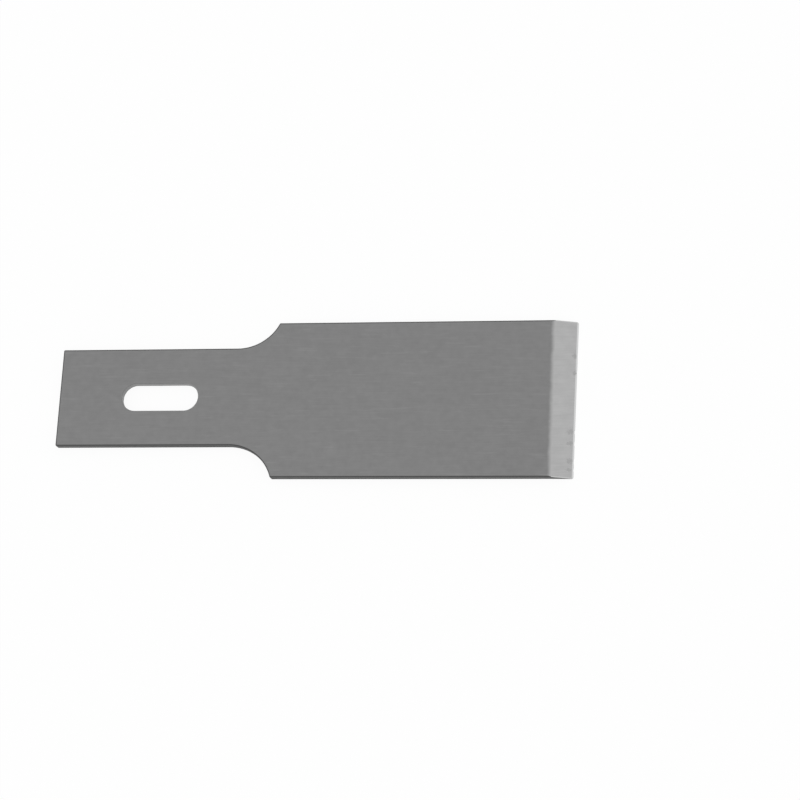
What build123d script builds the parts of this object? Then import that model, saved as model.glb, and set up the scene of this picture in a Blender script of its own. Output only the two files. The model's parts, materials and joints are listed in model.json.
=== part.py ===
"""A chisel blade for a large hobby-knife handle, used to lift, scrape and spread ink and to pare board.

It is one blank of hardened carbon-steel strip: a narrow tang with a slot in it, two concave shoulders,
and a wider body that ends in a square cutting edge, ground from the upper side only. The underside is flat.

Frame: the origin is the middle of the tang's slot, on the flat underside. +Y runs along the tang's
centre line to the cutting edge, +Z points out of the side that the bevel is ground on. Millimetres.
"""

from build123d import *

import os
from math import radians, sqrt, tan

# Strip and overall form
stock_thickness = 0.635
blade_length = 41.275
body_width = 12.7
body_offset = 0.27  # the body's centre line lies this far to the +X side of the tang's

# Tang and shoulders, stations measured from the tang's rear end
tang_width = 8.0
shoulder_station = 17.58
shoulder_radius = 3.65

# Slot in the tang
slot_station = 8.23  # the slot's middle
slot_length = 6.2
slot_width = 2.25

# Grinding
bevel_length = 1.83  # seen from above, with the honed edge
hone_length = 0.12
hone_angle = 30.0  # degrees to the underside
edge_corner_radius = 0.15
edge_break = 0.05  # rolled rim that the blanking tool leaves on the upper side

# Places along Y, counted from the slot's middle
rear_end = -slot_station
shoulder_line = rear_end + shoulder_station
cutting_edge = rear_end + blade_length
bevel_line = cutting_edge - bevel_length
grinding_clearance = stock_thickness  # how far the grinding cut reaches past the blank


def flank(side):
    """One long side of the outline, from the rear end to the cutting edge: -1 is the -X side, 1 the +X side."""
    tang_x = side * tang_width / 2
    body_x = body_offset + side * body_width / 2
    depth = abs(body_x - tang_x)
    curved = min(depth, shoulder_radius)
    run = sqrt(shoulder_radius**2 - (shoulder_radius - curved) ** 2)
    arc_start = (tang_x, shoulder_line - run)
    arc_end = (tang_x + side * curved, shoulder_line)
    edges = [
        Line((tang_x, rear_end), arc_start),
        TangentArc(arc_start, arc_end, tangent=(0, 1)),
    ]
    if depth > curved:
        edges.append(Line(arc_end, (body_x, shoulder_line)))
    edges.append(Line((body_x, shoulder_line), (body_x, cutting_edge)))
    return edges


def blank_outline():
    """The blank seen from above, with its slot."""
    left, right = flank(-1), flank(1)
    rear = Line(left[0] @ 0, right[0] @ 0)
    front = Line(left[-1] @ 1, right[-1] @ 1)
    blank = make_face([*left, *right, rear, front])
    front_corners = blank.vertices().group_by(Axis.Y)[-1]
    blank = fillet(front_corners, edge_corner_radius)
    return blank - SlotOverall(slot_length, slot_width, rotation=90)


def rolled_blank():
    """The blanked strip: sharp below, with a small rolled rim round the upper outline and the slot."""
    blank = extrude(blank_outline(), stock_thickness)
    upper_rim = blank.faces().sort_by(Axis.Z)[-1].edges()
    return fillet(upper_rim, min(edge_break, stock_thickness / 3))


def grinding_cut():
    """What the wheel takes off the upper side: the long bevel and the short, steeper honed facet at the edge."""
    hone_height = hone_length * tan(radians(hone_angle))
    above = stock_thickness + grinding_clearance
    beyond = cutting_edge + grinding_clearance
    profile = Polyline(
        (cutting_edge, 0),
        (cutting_edge - hone_length, hone_height),
        (bevel_line, stock_thickness),
        (bevel_line, above),
        (beyond, above),
        (beyond, 0),
        close=True,
    )
    side_view = Plane.YZ.offset(body_offset)
    return extrude(side_view * make_face(profile), body_width, both=True)


def chisel_blade():
    blade = rolled_blank() - grinding_cut()
    return blade.solid()


os.makedirs("parts", exist_ok=True)
export_step(chisel_blade(), "parts/chisel_blade.step")
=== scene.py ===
import json
from itertools import accumulate
from math import acos, cos, pi, radians, sin, sqrt, tan

import bmesh
import bpy
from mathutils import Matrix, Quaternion, Vector, noise


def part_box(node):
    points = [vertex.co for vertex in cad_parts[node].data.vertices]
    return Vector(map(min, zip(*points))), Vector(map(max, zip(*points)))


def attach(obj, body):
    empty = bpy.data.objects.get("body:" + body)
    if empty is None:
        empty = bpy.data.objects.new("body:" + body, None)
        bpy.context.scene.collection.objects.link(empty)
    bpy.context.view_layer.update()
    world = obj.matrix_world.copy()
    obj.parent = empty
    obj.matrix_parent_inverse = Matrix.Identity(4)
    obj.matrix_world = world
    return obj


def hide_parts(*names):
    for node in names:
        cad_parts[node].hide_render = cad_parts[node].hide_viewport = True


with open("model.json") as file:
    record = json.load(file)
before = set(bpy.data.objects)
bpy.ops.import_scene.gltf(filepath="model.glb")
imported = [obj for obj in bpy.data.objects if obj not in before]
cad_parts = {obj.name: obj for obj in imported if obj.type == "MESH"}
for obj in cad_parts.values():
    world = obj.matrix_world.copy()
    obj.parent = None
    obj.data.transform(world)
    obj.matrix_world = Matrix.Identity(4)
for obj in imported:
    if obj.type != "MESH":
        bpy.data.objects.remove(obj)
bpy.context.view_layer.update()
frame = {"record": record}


# ---------------------------------------------------------------- chisel blade
# The whole tool is one piece of carbon-steel strip, blanked on a press, hardened and tempered: a tang with
# a slot in it, two concave shoulders and a wider body, ground from above to a single bevel and honed. The
# jaws of a handle grip the tang, and nothing is fixed to the blade itself.

# The blank, seen from above. x = 0 is the tang's centre line and z = 0 the flat underside.
mm = 0.001
low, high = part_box("chisel_blade")
thickness = high.z
rear_end = low.y
cutting_edge = high.y
body_middle = (low.x + high.x) / 2
tang_half_width = 4.0 * mm
shoulder_station = 17.58 * mm  # from the rear end to where the shoulders reach the body's sides
shoulder_radius = 3.65 * mm
corner_radius = 0.10 * mm  # the punch's corners aren't quite sharp, and the rim turns inside them
point_spacing = 0.12 * mm  # round the outline, close enough for the torn part of the walls


def straight(start, end, spacing=point_spacing):
    """Points from start up to, but not including, end."""
    count = max(1, round((end - start).length / spacing))
    return [start.lerp(end, i / count) for i in range(count)]


def arc(centre, radius, start, turn, spacing=point_spacing):
    """Points on an arc from the angle start, turning by turn, without the last one."""
    count = max(4, round(abs(turn) * radius / spacing))
    angles = [start + turn * i / count for i in range(count)]
    return [centre + radius * Vector((cos(a), sin(a))) for a in angles]


def flank(reach, grinding_start):
    """One long side of the blank, as if on the +X side, from the start of the rear corner to where the
    grinding starts. The body's edge stands reach from the tang's centre line."""
    depth = reach - tang_half_width
    run = sqrt(shoulder_radius**2 - (shoulder_radius - depth) ** 2)
    shoulder_centre = Vector((tang_half_width + shoulder_radius, rear_end + shoulder_station - run))
    corner_x = reach - corner_radius
    apart = shoulder_radius + corner_radius
    turn = acos((shoulder_centre.x - corner_x) / apart)
    corner_centre = Vector((corner_x, shoulder_centre.y + apart * sin(turn)))
    rear_centre = Vector((tang_half_width - corner_radius, rear_end + corner_radius))
    return [
        *arc(rear_centre, corner_radius, -pi / 2, pi / 2),
        *straight(Vector((tang_half_width, rear_centre.y)), Vector((tang_half_width, shoulder_centre.y))),
        *arc(shoulder_centre, shoulder_radius, pi, -turn),
        *arc(corner_centre, corner_radius, -turn, turn),
        *straight(Vector((reach, corner_centre.y)), Vector((reach, grinding_start))),
    ]


# The slot, as the mount in the record gives it.
slot_sizes = next(m["dims"] for m in frame["record"]["mounts"] if m["name"] == "tang_slot")


def slot_outline():
    """The slot, with the metal on the left of the way round."""
    radius = slot_sizes["hole_r_mm"] * mm
    end = slot_sizes["slot_length_mm"] / 2 * mm - radius
    return [
        *arc(Vector((0, end)), radius, pi, -pi),
        *straight(Vector((radius, end)), Vector((radius, -end))),
        *arc(Vector((0, -end)), radius, 0, -pi),
        *straight(Vector((-radius, -end)), Vector((-radius, end))),
    ]


# The grinding. The wheel cuts one bevel across the full width and runs out softly at the back of it, and a
# narrow, steeper facet is honed along the edge. The wheel stood a little out of square to the blank, so the
# bevel is longer at the -X side.
bevel_length = 1.83 * mm  # at the middle
grinding_skew = radians(0.5)
run_out = 0.36 * mm  # over this length the flat turns into the bevel
hone_length = 0.12 * mm
hone_angle = radians(30)
hone_height = hone_length * tan(hone_angle)
bevel_slope = (thickness - hone_height) / (bevel_length - hone_length)
front_corner_radius = 0.15 * mm

# Rows of points across the ground part, by their distance behind the cutting edge. They are close at the
# edge, where the chips are, and in the run-out. The first row is still level, so that the flat's shading
# carries on into the bevel's.
edge_row_count = 24
edge_row_spacing = 0.03 * mm
nearest_row = 0.01 * mm  # one more, just behind the edge
run_out_steps = 8
middle_steps = 4
level_strip = 0.06 * mm  # from the first row to the run-out
edge_rows = [edge_row_spacing * i for i in range(edge_row_count)]
run_out_rows = [bevel_length + run_out * (0.5 - i / run_out_steps) for i in range(run_out_steps + 1)]
between = run_out_rows[-1] - edge_rows[-1]
middle_rows = [edge_rows[-1] + between * i / middle_steps for i in range(1, middle_steps)]
ground_rows = [run_out_rows[0] + level_strip, *run_out_rows, *middle_rows, *edge_rows, nearest_row]
ground_rows.sort(reverse=True)
edge_spacing = 0.04 * mm  # of the points along the cutting edge


def stretch(x):
    """How much longer the ground part is at x than at the middle."""
    return 1 - grinding_skew * (x - body_middle) / bevel_length


def ground_height(x, behind):
    """Height of the upper surface at a distance behind the cutting edge."""
    hone = behind / stretch(x) * hone_height / hone_length
    bevel = hone_height + (behind / stretch(x) - hone_length) * bevel_slope
    softness = bevel_slope * run_out / 2
    near = max(0, softness - abs(bevel - thickness))  # above 0 in the run-out alone
    return min(hone, min(bevel, thickness) - near**2 / (4 * softness))


def corner_inset(behind):
    """How far the rounding of a front corner sets the side in, at a distance behind the cutting edge."""
    return front_corner_radius - sqrt(front_corner_radius**2 - max(0, front_corner_radius - behind) ** 2)


# Use has chipped the edge in a few places. A chip is a shallow ragged scoop just behind a small notch.
chips = [  # place across the body, width, reach behind the edge, depth of the notch
    (-3.54 * mm, 0.58 * mm, 0.38 * mm, 0.015 * mm),
    (-2.18 * mm, 0.44 * mm, 0.32 * mm, 0.012 * mm),
    (2.62 * mm, 0.44 * mm, 0.60 * mm, 0.035 * mm),
    (3.54 * mm, 0.40 * mm, 0.58 * mm, 0.030 * mm),
    (4.98 * mm, 0.58 * mm, 0.56 * mm, 0.025 * mm),
    (5.66 * mm, 0.36 * mm, 0.60 * mm, 0.025 * mm),
]
scoop_depth = 0.02 * mm
scoop_middle = 0.6  # how far behind the edge a scoop's middle lies, as a share of the reach
scoop_grain = 0.12 * mm
scoop_raggedness = 0.9
scoop_dulling = 1.6  # over 1, so that all but the thin rim of a scoop is dull


def notch(x):
    """How far the chips set the cutting edge back at x."""
    depth = 0
    for across, width, _, deep in chips:
        aside = (x - body_middle - across) / (width / 2)
        depth = max(depth, deep * (1 - aside**2))
    return depth


def scoop(x, behind):
    """How deep a place lies in a chip's scoop: about 1 in its middle, 0 outside every chip."""
    ragged = 1 + scoop_raggedness * noise.noise(Vector((x, behind, 0)) / scoop_grain)
    deepest = 0
    for across, width, reach, _ in chips:
        aside = (x - body_middle - across) / (width / 2)
        along = (behind - scoop_middle * reach) / (reach / 2)
        deepest = max(deepest, ragged - aside**2 - along**2)
    return deepest


# The walls. The punch first draws the upper rim down, then shears a smooth band, and below it the metal
# tears. The slot's closer punch tears less of its wall. On the ground part the walls taper to nothing.
rim_width = 0.07 * mm
rim_depth = 0.06 * mm
rim_steps = 5
rim_margin = 0.02 * mm  # a level strip inside the rim, which keeps the flat's shading flat
outer_shear = 0.5  # share of the wall's height that is sheared smooth
slot_shear = 0.8
tear_line_wave = 0.45 * mm
tear_line_swing = 0.06  # as a share of the wall's height
tear_depth = 0.018 * mm
tear_grain = 0.11 * mm
tear_unevenness = 0.6
torn_rings = (0.97, 0.8, 0.6, 0.4, 0.2, 0.06)  # as shares of the torn part's height
lower_break = 0.02 * mm

STRIP, GROUND, DRAWN, BURNISHED, TORN, SLOT_WALL = range(6)  # the order of the steel's finishes

# How the surface is laid out flat for a baked copy, in metres on one square sheet: both flats side by side,
# and above them the walls in rows, drawn out four times in height because they are so thin.
sheet_layer = "OFBake"
sheet_gap = 0.5 * mm
sheet = cutting_edge - rear_end + 2 * sheet_gap
flat_row = high.x - low.x + sheet_gap
walls_start = 2 * flat_row + sheet_gap
wall_row = 3.6 * mm
wall_stretch = 4
outline_row, slot_row = 0, 3  # the outline's wall takes three rows


def outward(loop):
    """The outward direction at each point of a closed loop that keeps the metal on its left."""
    along = [loop[(i + 1) % len(loop)] - loop[i - 1] for i in range(len(loop))]
    return [Vector((a.y, -a.x)).normalized() for a in along]


def wall_section(point, out, top, sheared):
    """One upright section of a wall, from the upper surface down to the underside."""
    drawn = min(1, max(0, (top - thickness + rim_depth) / rim_depth))
    taper = top / thickness
    section = [((rim_width + rim_margin) * drawn, top)]
    for i in range(rim_steps + 1):
        angle = pi / 2 * i / rim_steps
        inset = rim_width * drawn * (1 - sin(angle))
        section.append((inset, top - rim_depth * drawn * (1 - cos(angle))))
    rim_foot = section[-1][1]
    waver = noise.noise(Vector((point.x, point.y, 0)) / tear_line_wave)
    tear_line = rim_foot * (1 - sheared + tear_line_swing * waver)
    section.append((0, (rim_foot + tear_line) / 2))
    section.append((0, tear_line))
    for share in torn_rings:
        grain = noise.noise(Vector((point.x, point.y, share * thickness)) / tear_grain)
        section.append((tear_depth * taper * (1 + tear_unevenness * grain), tear_line * share))
    section.append((lower_break * taper, 0))
    return [Vector((point.x - out.x * inset, point.y - out.y * inset, z)) for inset, z in section]


def add_wall(bm, loop, tops, sheared, rim_finish, smooth_finish, row):
    """The wall round a loop, laid out from a row of the sheet on. Gives back its upper and its lower ring of
    points."""
    sections = [wall_section(p, o, top, sheared) for p, o, top in zip(loop, outward(loop), tops)]
    rings = [[bm.verts.new(co) for co in ring] for ring in zip(*sections)]
    depths = [list(accumulate([(b - a).length for a, b in zip(s, s[1:])], initial=0)) for s in sections]
    # Down a section come the faces of the rim, two that are sheared smooth, and the torn ones.
    finishes = [rim_finish] * (rim_steps + 1) + [smooth_finish] * 2 + [TORN] * (len(torn_rings) + 1)
    start = 0
    for i in range(len(loop)):
        j = (i + 1) % len(loop)
        end = start + (loop[j] - loop[i]).length
        if end > sheet - 2 * sheet_gap:
            row += 1
            start, end = 0, end - start
        for k, finish in enumerate(finishes):
            face = bm.faces.new((rings[k][i], rings[k + 1][i], rings[k + 1][j], rings[k][j]))
            face.material_index = finish
            face.smooth = True
            near, far = depths[i], depths[j]
            places = [(start, near[k]), (start, near[k + 1]), (end, far[k + 1]), (end, far[k])]
            for corner, (along, down) in zip(face.loops, places):
                place = Vector((sheet_gap + along, walls_start + row * wall_row + wall_stretch * down))
                corner[bm.loops.layers.uv[sheet_layer]].uv = place / sheet
        start = end
    return rings[0], rings[-1]


def lay_out_flat(bm, face, offset):
    """Lays a face out on the sheet as seen from above, and offset up it."""
    for corner in face.loops:
        place = Vector((corner.vert.co.y - rear_end, corner.vert.co.x - low.x + offset))
        corner[bm.loops.layers.uv[sheet_layer]].uv = (place + Vector((sheet_gap, sheet_gap))) / sheet


def fill_flat(bm, outer, hole, facing, offset):
    """Fills a flat face that has a hole in it."""
    edges = []
    for ring in (outer, hole):
        for a, b in zip(ring, ring[1:] + ring[:1]):
            edges.append(bm.edges.get((a, b)) or bm.edges.new((a, b)))
    filled = bmesh.ops.triangle_fill(bm, use_beauty=True, edges=edges, normal=facing)
    for face in filled["geom"]:
        if isinstance(face, bmesh.types.BMFace):
            face.material_index = STRIP
            lay_out_flat(bm, face, offset)


def add_ground_part(bm, right_side, left_side, edge_line):
    """The grid over the bevel, between the wall's upper points. Gives back its rearmost row."""
    columns = len(edge_line) - 1
    grid = []
    for start, end, station in zip(right_side, left_side, ground_rows[:-1]):
        row = [start]
        for i in range(1, columns):
            x = start.co.x + (end.co.x - start.co.x) * i / columns
            behind = station * stretch(x)
            # The rows bend back round a notch, and less so the further behind it they are.
            back = behind + notch(x) * max(0, 1 - behind / edge_rows[-1])
            height = ground_height(x, back) - scoop_depth * scoop(x, behind)
            row.append(bm.verts.new((x, cutting_edge - back, height)))
        grid.append([*row, end])
    grid.append(edge_line)
    for above, below in zip(grid, grid[1:]):
        for i in range(columns):
            face = bm.faces.new((above[i], below[i], below[i + 1], above[i + 1]))
            face.material_index = GROUND
            face.smooth = True
            lay_out_flat(bm, face, 0)
    return grid[0]


def mirrored(points):
    """Points moved to the other side of the tang's centre line, in the opposite order."""
    return [Vector((-p.x, p.y)) for p in reversed(points)]


def ground_side(reach, stretched):
    """The side of the ground part, as if on the +X side, down to the cutting edge."""
    rows = [row * stretched for row in ground_rows]
    return [Vector((reach - corner_inset(behind), cutting_edge - behind)) for behind in rows]


same_point = 1e-5 * mm
crease_angle = radians(24)  # the rims and the run-out stay smooth


def blade_mesh():
    """The blade's whole surface, as one closed skin."""
    right_rows = ground_side(high.x, stretch(high.x))
    left_rows = ground_side(-low.x, stretch(low.x))
    right = flank(high.x, right_rows[0].y)
    left = flank(-low.x, left_rows[0].y)
    edge = straight(right_rows[-1], mirrored(left_rows)[0], edge_spacing)[1:]
    edge = [Vector((p.x, p.y - notch(p.x))) for p in edge]
    rear_start = Vector((corner_radius - tang_half_width, rear_end))
    rear = straight(rear_start, Vector((-rear_start.x, rear_end)))
    # Anticlockwise from the rear corner on the +X side.
    outline = [*right, *right_rows, *edge, *mirrored(left_rows), *mirrored(left), *rear[1:]]

    bm = bmesh.new()
    bm.loops.layers.uv.new(sheet_layer)
    tops = [ground_height(p.x, cutting_edge - p.y) for p in outline]
    upper, lower = add_wall(bm, outline, tops, outer_shear, DRAWN, BURNISHED, outline_row)
    slot = slot_outline()
    tops = [thickness] * len(slot)
    slot_upper, slot_lower = add_wall(bm, slot, tops, slot_shear, BURNISHED, SLOT_WALL, slot_row)

    # The upper ring's points round the ground part, from its rearmost row on the +X side, along the cutting
    # edge, to the same row on the -X side.
    rows = len(ground_rows)
    first = len(right)
    last = first + rows + len(edge) + rows - 1
    ground = upper[first : last + 1]
    edge_line = ground[rows - 1 : 1 - rows]
    rear_row = add_ground_part(bm, ground, ground[::-1], edge_line)
    fill_flat(bm, upper[last:] + upper[: first + 1] + rear_row[1:-1], slot_upper, (0, 0, 1), 0)
    fill_flat(bm, lower, slot_lower, (0, 0, -1), flat_row)
    # At the cutting edge the wall has no height, so its points fall together.
    bmesh.ops.remove_doubles(bm, verts=bm.verts, dist=same_point)
    bmesh.ops.recalc_face_normals(bm, faces=bm.faces)

    mesh = bpy.data.meshes.new("chisel_blade_steel")
    bm.to_mesh(mesh)
    bm.free()
    mesh.set_sharp_from_angle(angle=crease_angle)
    chipped = mesh.attributes.new("chipped", "FLOAT", "POINT")
    for vertex, value in zip(mesh.vertices, chipped.data):
        value.value = min(1, scoop_dulling * scoop(vertex.co.x, cutting_edge - vertex.co.y))
    return mesh


blade = bpy.data.objects.new("ground_chisel_blade", blade_mesh())
bpy.context.scene.collection.objects.link(blade)
# The large faces settle the normals, so that the flats don't darken towards the rims.
even = blade.modifiers.new("flats_stay_flat", "WEIGHTED_NORMAL")
even.keep_sharp = True


# Its finishes. All are the same bare steel, and the way each surface was made sets how rough it is and much
# of how bright; painted light on the bevel and painted shade on the walls set the rest of its brightness.
SHARE, FIRST, SECOND, FIRST_COLOUR, SECOND_COLOUR = 0, 2, 3, 6, 7  # inputs of a Mix node
MIXED_COLOUR = 2  # its output for colours


def linear(hex_colour):
    """An sRGB hex colour as the linear colour that a shader takes."""
    parts = [int(hex_colour[i : i + 2], 16) / 255 for i in (1, 3, 5)]
    return (*(p / 12.92 if p <= 0.04045 else ((p + 0.055) / 1.055) ** 2.4 for p in parts), 1)


def add(tree, kind, inputs=None, **settings):
    """Adds a node, sets its settings, and sets or links its inputs. Gives back the node."""
    node = tree.nodes.new("ShaderNode" + kind)
    for name, value in settings.items():
        setattr(node, name, value)
    for name, value in (inputs or {}).items():
        if isinstance(value, bpy.types.NodeSocket):
            tree.links.new(value, node.inputs[name])
        else:
            node.inputs[name].default_value = value
    return node


def new_material(name):
    """A material without any nodes yet, and its node tree."""
    material = bpy.data.materials.new(name)
    material.use_nodes = True
    material.node_tree.nodes.clear()
    return material, material.node_tree


# Hardened and tempered strip: an even, matt mid grey. Tempering mottles it, finely and again over a few
# millimetres, and rolling leaves fine lines along it. Real ones are about 0.02 mm apart, and these 0.1 mm,
# so that they show. Here and there handling has rubbed in a short, lighter streak.
strip_dark = linear("#767676")
strip_light = linear("#8c8c8c")
strip_smoothest = 0.38
strip_roughest = 0.48
rolling_lines = (0.10 * mm, 3.0 * mm, 0.2 * mm)
fine_mottling = (0.45 * mm, 0.60 * mm, 0.45 * mm)
broad_mottling = (2.2 * mm, 3.0 * mm, 2.2 * mm)
rubs = (0.20 * mm, 2.6 * mm, 1.0 * mm)
rubs_from, rubs_full = 0.60, 0.78  # only the peaks of the pattern show
broad_share = 0.25
lines_share = 0.3
rubs_share = 0.3
line_height = 0.0004 * mm


def steel_marks(tree, place, size, detail=2.0, turn=0.0):
    """Soft random marks of a given size along each axis."""
    layout = {"Vector": place, "Rotation": (0, 0, turn), "Scale": size}
    spread = add(tree, "Mapping", layout, vector_type="TEXTURE").outputs[0]
    return add(tree, "TexNoise", {"Vector": spread, "Scale": 1.0, "Detail": detail}).outputs["Fac"]


def strip_finish(tree, place):
    """Colour, roughness and height of the strip's surface."""
    lines = steel_marks(tree, place, rolling_lines)
    fine = steel_marks(tree, place, fine_mottling)
    broad = steel_marks(tree, place, broad_mottling)
    streaks = steel_marks(tree, place, rubs)
    peaks = {"Value": streaks, "From Min": rubs_from, "From Max": rubs_full, "To Max": rubs_share}
    rubbed = add(tree, "MapRange", peaks).outputs[0]
    mottled = add(tree, "Mix", {SHARE: broad_share, FIRST: fine, SECOND: broad}).outputs[0]
    tone = add(tree, "Mix", {SHARE: lines_share, FIRST: mottled, SECOND: lines}).outputs[0]
    tone = add(tree, "Math", {0: rubbed, 1: tone}, operation="ADD").outputs[0]
    greys = {SHARE: tone, FIRST_COLOUR: strip_dark, SECOND_COLOUR: strip_light}
    colour = add(tree, "Mix", greys, data_type="RGBA").outputs[MIXED_COLOUR]
    span = {"Value": mottled, "To Min": strip_smoothest, "To Max": strip_roughest}
    roughness = add(tree, "MapRange", span).outputs[0]
    return colour, roughness, lines


def bare_steel(tree, colour, roughness, heights, depth, glancing="#ffffff"):
    """Steel with a finish and its relief as a material's surface. The grey for a glancing view darkens it
    there, and white leaves it as bright as clean metal is."""
    relief = add(tree, "Bump", {"Height": heights, "Distance": depth}).outputs[0]
    finish = {"Base Color": colour, "Roughness": roughness, "Normal": relief}
    bare = {"Metallic": 1.0, "Specular Tint": linear(glancing)}
    metal = add(tree, "BsdfPrincipled", finish | bare).outputs[0]
    add(tree, "OutputMaterial", {"Surface": metal})


strip_steel, tree = new_material("hardened_strip_steel")
place = add(tree, "TexCoord").outputs["Object"]
colour, roughness, lines = strip_finish(tree, place)
bare_steel(tree, colour, roughness, lines, line_height)

# Ground steel: brighter than the strip, partly because the wheel leaves it so and partly as painted light
# for the bevel's tilt towards the light. Fine straight lines cross the bevel a few degrees off square. Real
# ones are about 0.02 mm apart, and these 0.08 mm, so that they show. At the back of the bevel they end
# unevenly on the strip's own grey. The honed facet is brighter and smoother still, a painted highlight
# brightens the bevel's two sides, and the chips are dull and darker, because broken steel is rough.
ground_dark = linear("#9f9f9f")
ground_light = linear("#bdbdbd")
ground_line_size = (0.08 * mm, 2.0 * mm, 2.0 * mm)
ground_patch_size = (0.7 * mm, 1.0 * mm, 1.0 * mm)
patches_share = 0.5
ground_line_turn = radians(7)
ground_roughness = 0.32
ground_line_height = 0.0006 * mm
side_highlight_width = 0.10 * mm
side_highlight_share = 0.9  # at the very side
honed_grey = linear("#d0d0d0")
honed_roughness = 0.2
honed_from, honed_full = 1.1 * hone_length, 0.9 * hone_length  # behind the edge
chipped_grey = linear("#acacac")
chipped_roughness = 0.6
fade_middle = 1.875 * mm  # behind the edge, where the ground finish takes over from the strip's
fade = 0.42 * mm
fade_waver = 0.28 * mm
pattern_middle = 0.5  # the level that a pattern of marks swings about

ground_steel, tree = new_material("ground_and_honed_steel")
place = add(tree, "TexCoord").outputs["Object"]
across, along, _ = add(tree, "SeparateXYZ", {"Vector": place}).outputs
offset = add(tree, "Math", {0: across, 1: body_middle}, operation="SUBTRACT").outputs[0]
behind = add(tree, "Math", {0: cutting_edge, 1: along}, operation="SUBTRACT").outputs[0]

# The wheel's lines, in patches.
lines = steel_marks(tree, place, ground_line_size, detail=3.0, turn=ground_line_turn)
patches = steel_marks(tree, place, ground_patch_size, turn=ground_line_turn)
tone = add(tree, "Mix", {SHARE: patches_share, FIRST: lines, SECOND: patches}).outputs[0]
greys = {SHARE: tone, FIRST_COLOUR: ground_dark, SECOND_COLOUR: ground_light}
colour = add(tree, "Mix", greys, data_type="RGBA").outputs[MIXED_COLOUR]

# The two sides, brightened by a painted highlight.
aside = add(tree, "Math", {0: offset}, operation="ABSOLUTE").outputs[0]
side = high.x - body_middle
side_highlighting = {"Value": aside, "From Min": side - side_highlight_width, "From Max": side, "To Max": side_highlight_share}
side_highlight = add(tree, "MapRange", side_highlighting).outputs[0]
greys = {SHARE: side_highlight, FIRST_COLOUR: colour, SECOND_COLOUR: honed_grey}
colour = add(tree, "Mix", greys, data_type="RGBA").outputs[MIXED_COLOUR]

# The honed facet.
honing = {"Value": behind, "From Min": honed_from, "From Max": honed_full}
honed = add(tree, "MapRange", honing).outputs[0]
greys = {SHARE: honed, FIRST_COLOUR: colour, SECOND_COLOUR: honed_grey}
colour = add(tree, "Mix", greys, data_type="RGBA").outputs[MIXED_COLOUR]
smoothing = {SHARE: honed, FIRST: ground_roughness, SECOND: honed_roughness}
roughness = add(tree, "Mix", smoothing).outputs[0]

# The chips.
chipped = add(tree, "Attribute", attribute_name="chipped").outputs["Fac"]
greys = {SHARE: chipped, FIRST_COLOUR: colour, SECOND_COLOUR: chipped_grey}
colour = add(tree, "Mix", greys, data_type="RGBA").outputs[MIXED_COLOUR]
breaking = {SHARE: chipped, FIRST: roughness, SECOND: chipped_roughness}
roughness = add(tree, "Mix", breaking).outputs[0]

# The back of the bevel, as far out of square as the wheel was.
waver = add(tree, "Math", {0: patches, 1: pattern_middle}, operation="SUBTRACT").outputs[0]
uneven = add(tree, "Math", {0: waver, 1: fade_waver, 2: behind}, operation="MULTIPLY_ADD").outputs[0]
skewed = add(tree, "Math", {0: offset, 1: grinding_skew, 2: uneven}, operation="MULTIPLY_ADD").outputs[0]
fading = {"Value": skewed, "From Min": fade_middle + fade / 2, "From Max": fade_middle - fade / 2}
ground = add(tree, "MapRange", fading, interpolation_type="SMOOTHSTEP").outputs[0]
strip_colour, strip_roughness, strip_lines = strip_finish(tree, place)
greys = {SHARE: ground, FIRST_COLOUR: strip_colour, SECOND_COLOUR: colour}
colour = add(tree, "Mix", greys, data_type="RGBA").outputs[MIXED_COLOUR]
grinding = {SHARE: ground, FIRST: strip_roughness, SECOND: roughness}
roughness = add(tree, "Mix", grinding).outputs[0]
heights = add(tree, "Mix", {SHARE: ground, FIRST: strip_lines, SECOND: lines}).outputs[0]
bare_steel(tree, colour, roughness, heights, ground_line_height)

# Sheared walls. The rim that the punch drew down is dull, the burnished band below it is smooth with
# upright draw marks, and the torn band is rough. All three are darker than the faces, above all at a
# glancing angle, partly from the hardening scale left on them and partly as painted shade. The slot's
# smooth band is lighter and keeps its full shine at a glancing angle. The marks on real ones are about
# 0.02 mm wide, and these 0.07 mm, so that they show.
drawn_grain = (0.07 * mm, 0.07 * mm, 0.07 * mm)
draw_marks = (0.07 * mm, 0.07 * mm, 2.0 * mm)
torn_grain = (0.08 * mm, 0.08 * mm, 0.08 * mm)


def wall_steel(name, dark, light, glancing, marks_size, roughness, depth):
    """The steel of one band of a wall."""
    material, tree = new_material(name)
    place = add(tree, "TexCoord").outputs["Object"]
    marks = steel_marks(tree, place, marks_size, detail=3.0)
    greys = {SHARE: marks, FIRST_COLOUR: linear(dark), SECOND_COLOUR: linear(light)}
    colour = add(tree, "Mix", greys, data_type="RGBA").outputs[MIXED_COLOUR]
    bare_steel(tree, colour, roughness, marks, depth, glancing)
    return material


# The rim's and the torn band's dark greys and the dim glancing greys are partly hardening scale and partly
# painted shade.
wall_steels = [  # name, darker and lighter grey, grey for a glancing view, marks, roughness, their height
    wall_steel("drawn_rim_scale_and_painted_shade", "#4a4a4a", "#606060", "#484848", drawn_grain, 0.5, 0.001 * mm),
    wall_steel("burnished_sheared_edge", "#747474", "#909090", "#aaaaaa", draw_marks, 0.4, 0.0008 * mm),
    wall_steel("torn_sheared_edge", "#565656", "#868686", "#888888", torn_grain, 0.65, 0.006 * mm),
    wall_steel("lighter_slot_wall", "#7c7c7c", "#949494", "#ffffff", draw_marks, 0.4, 0.0008 * mm),
]

for material in (strip_steel, ground_steel, *wall_steels):
    blade.data.materials.append(material)

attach(blade, "root")
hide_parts("chisel_blade")


# ---------------------------------------------------------------- studio floor
# A wide sheet of matt white paper under the blade. Seen directly or in the steel it is nearly plain white,
# and a small share of its real shading is kept, so that the blade's shadow stays on it.
floor_half = 2.0
floor_drop = 0.02 * mm  # below the underside
floor_white = "#f4f4f4"
floor_own_light = 0.92
plain_white = linear("#ffffff")


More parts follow.
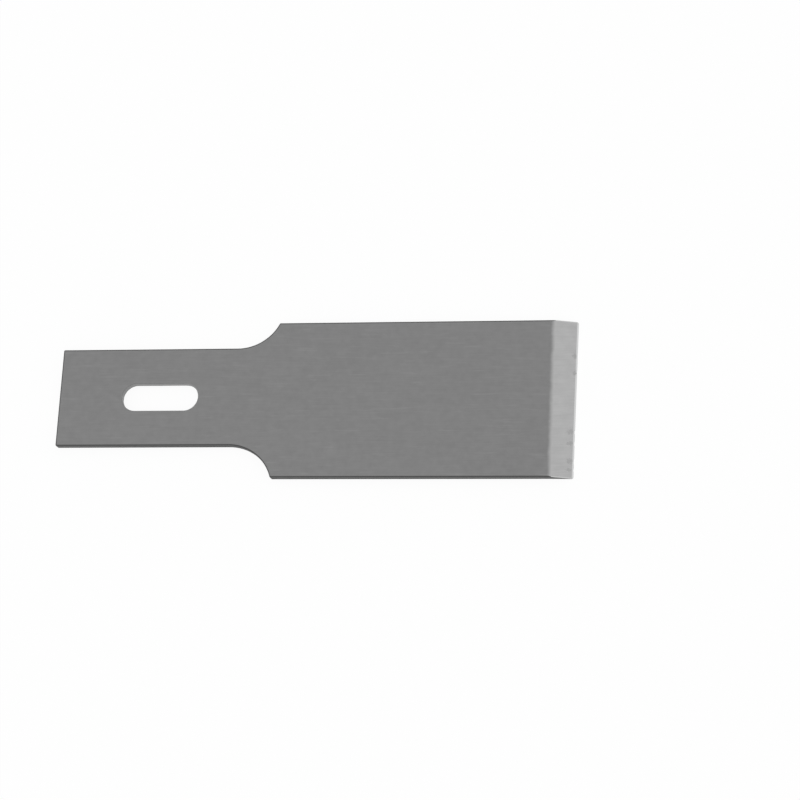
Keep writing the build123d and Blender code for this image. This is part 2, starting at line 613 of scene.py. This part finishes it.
def seen_itself(tree):
    """1 where it is seen directly, in a reflection or through something, and 0 where it only gives light."""
    path = add(tree, "LightPath").outputs
    seen = {0: path["Is Camera Ray"], 1: path["Is Glossy Ray"]}
    seen = add(tree, "Math", seen, operation="MAXIMUM").outputs[0]
    seen = {0: seen, 1: path["Is Transmission Ray"]}
    return add(tree, "Math", seen, operation="MAXIMUM").outputs[0]


corners = [(-floor_half, -floor_half, 0), (floor_half, -floor_half, 0)]
corners += [(floor_half, floor_half, 0), (-floor_half, floor_half, 0)]
floor_mesh = bpy.data.meshes.new("studio_floor")
floor_mesh.from_pydata(corners, [], [(0, 1, 2, 3)])
floor = bpy.data.objects.new("studio_floor", floor_mesh)
floor.location.z = -floor_drop
bpy.context.scene.collection.objects.link(floor)

paper, tree = new_material("matt_white_paper")
matt = add(tree, "BsdfDiffuse", {"Color": linear(floor_white)})
own_light = add(tree, "Emission", {"Color": plain_white, "Strength": 1.0})
share = add(tree, "Math", {0: seen_itself(tree), 1: floor_own_light}, operation="MULTIPLY")
mixed = add(tree, "MixShader", {0: share.outputs[0], 1: matt.outputs[0], 2: own_light.outputs[0]})
add(tree, "OutputMaterial", {"Surface": mixed.outputs[0]})
floor_mesh.materials.append(paper)


# ---------------------------------------------------------------- light
# Even white surroundings and one large soft lamp behind the tang. Together they light a matt surface at a
# level where its colour comes out as it is written.
surround_level = 0.94
lamp_power = 2.2
lamp_size = 0.8
lamp_distance = 1.2
lamp_direction = Vector((0.05, -0.90, 0.42)).normalized()

world = bpy.data.worlds.new("studio_surroundings")
bpy.context.scene.world = world
world.use_nodes = True
tree = world.node_tree
tree.nodes.clear()
seen = {"Value": seen_itself(tree), "To Min": surround_level, "To Max": 1.0}
level = add(tree, "MapRange", seen).outputs[0]
white = add(tree, "Background", {"Color": plain_white, "Strength": level})
add(tree, "OutputWorld", {"Surface": white.outputs[0]})

lamp_data = bpy.data.lights.new("soft_lamp", "AREA")
lamp_data.energy = lamp_power
lamp_data.size = lamp_size
lamp = bpy.data.objects.new("soft_lamp", lamp_data)
bpy.context.scene.collection.objects.link(lamp)
lamp.location = lamp_direction * lamp_distance
lamp.rotation_mode = "QUATERNION"
lamp.rotation_quaternion = lamp_direction.to_track_quat("Z", "Y")


# ---------------------------------------------------------------- camera
# A short telephoto view from above, the cutting edge to the right and the +X side towards the viewer.
camera_data = bpy.data.cameras.new("camera")
camera_data.sensor_width = 36
camera_data.lens = 131.59
camera_data.clip_start = 0.01
camera = bpy.data.objects.new("camera", camera_data)
bpy.context.scene.collection.objects.link(camera)
bpy.context.scene.camera = camera

aim = Vector((0.172, 19.217, 0)) * mm
distance = 227.85 * mm
azimuth = radians(31.578)
elevation = radians(68.854)
roll = radians(-30.201)
towards = Vector((cos(azimuth) * cos(elevation), sin(azimuth) * cos(elevation), sin(elevation)))
camera.location = aim + towards * distance
camera.rotation_mode = "QUATERNION"
camera.rotation_quaternion = (-towards).to_track_quat("-Z", "Y") @ Quaternion((0, 0, 1), roll)

bpy.context.scene.view_settings.view_transform = "Standard"
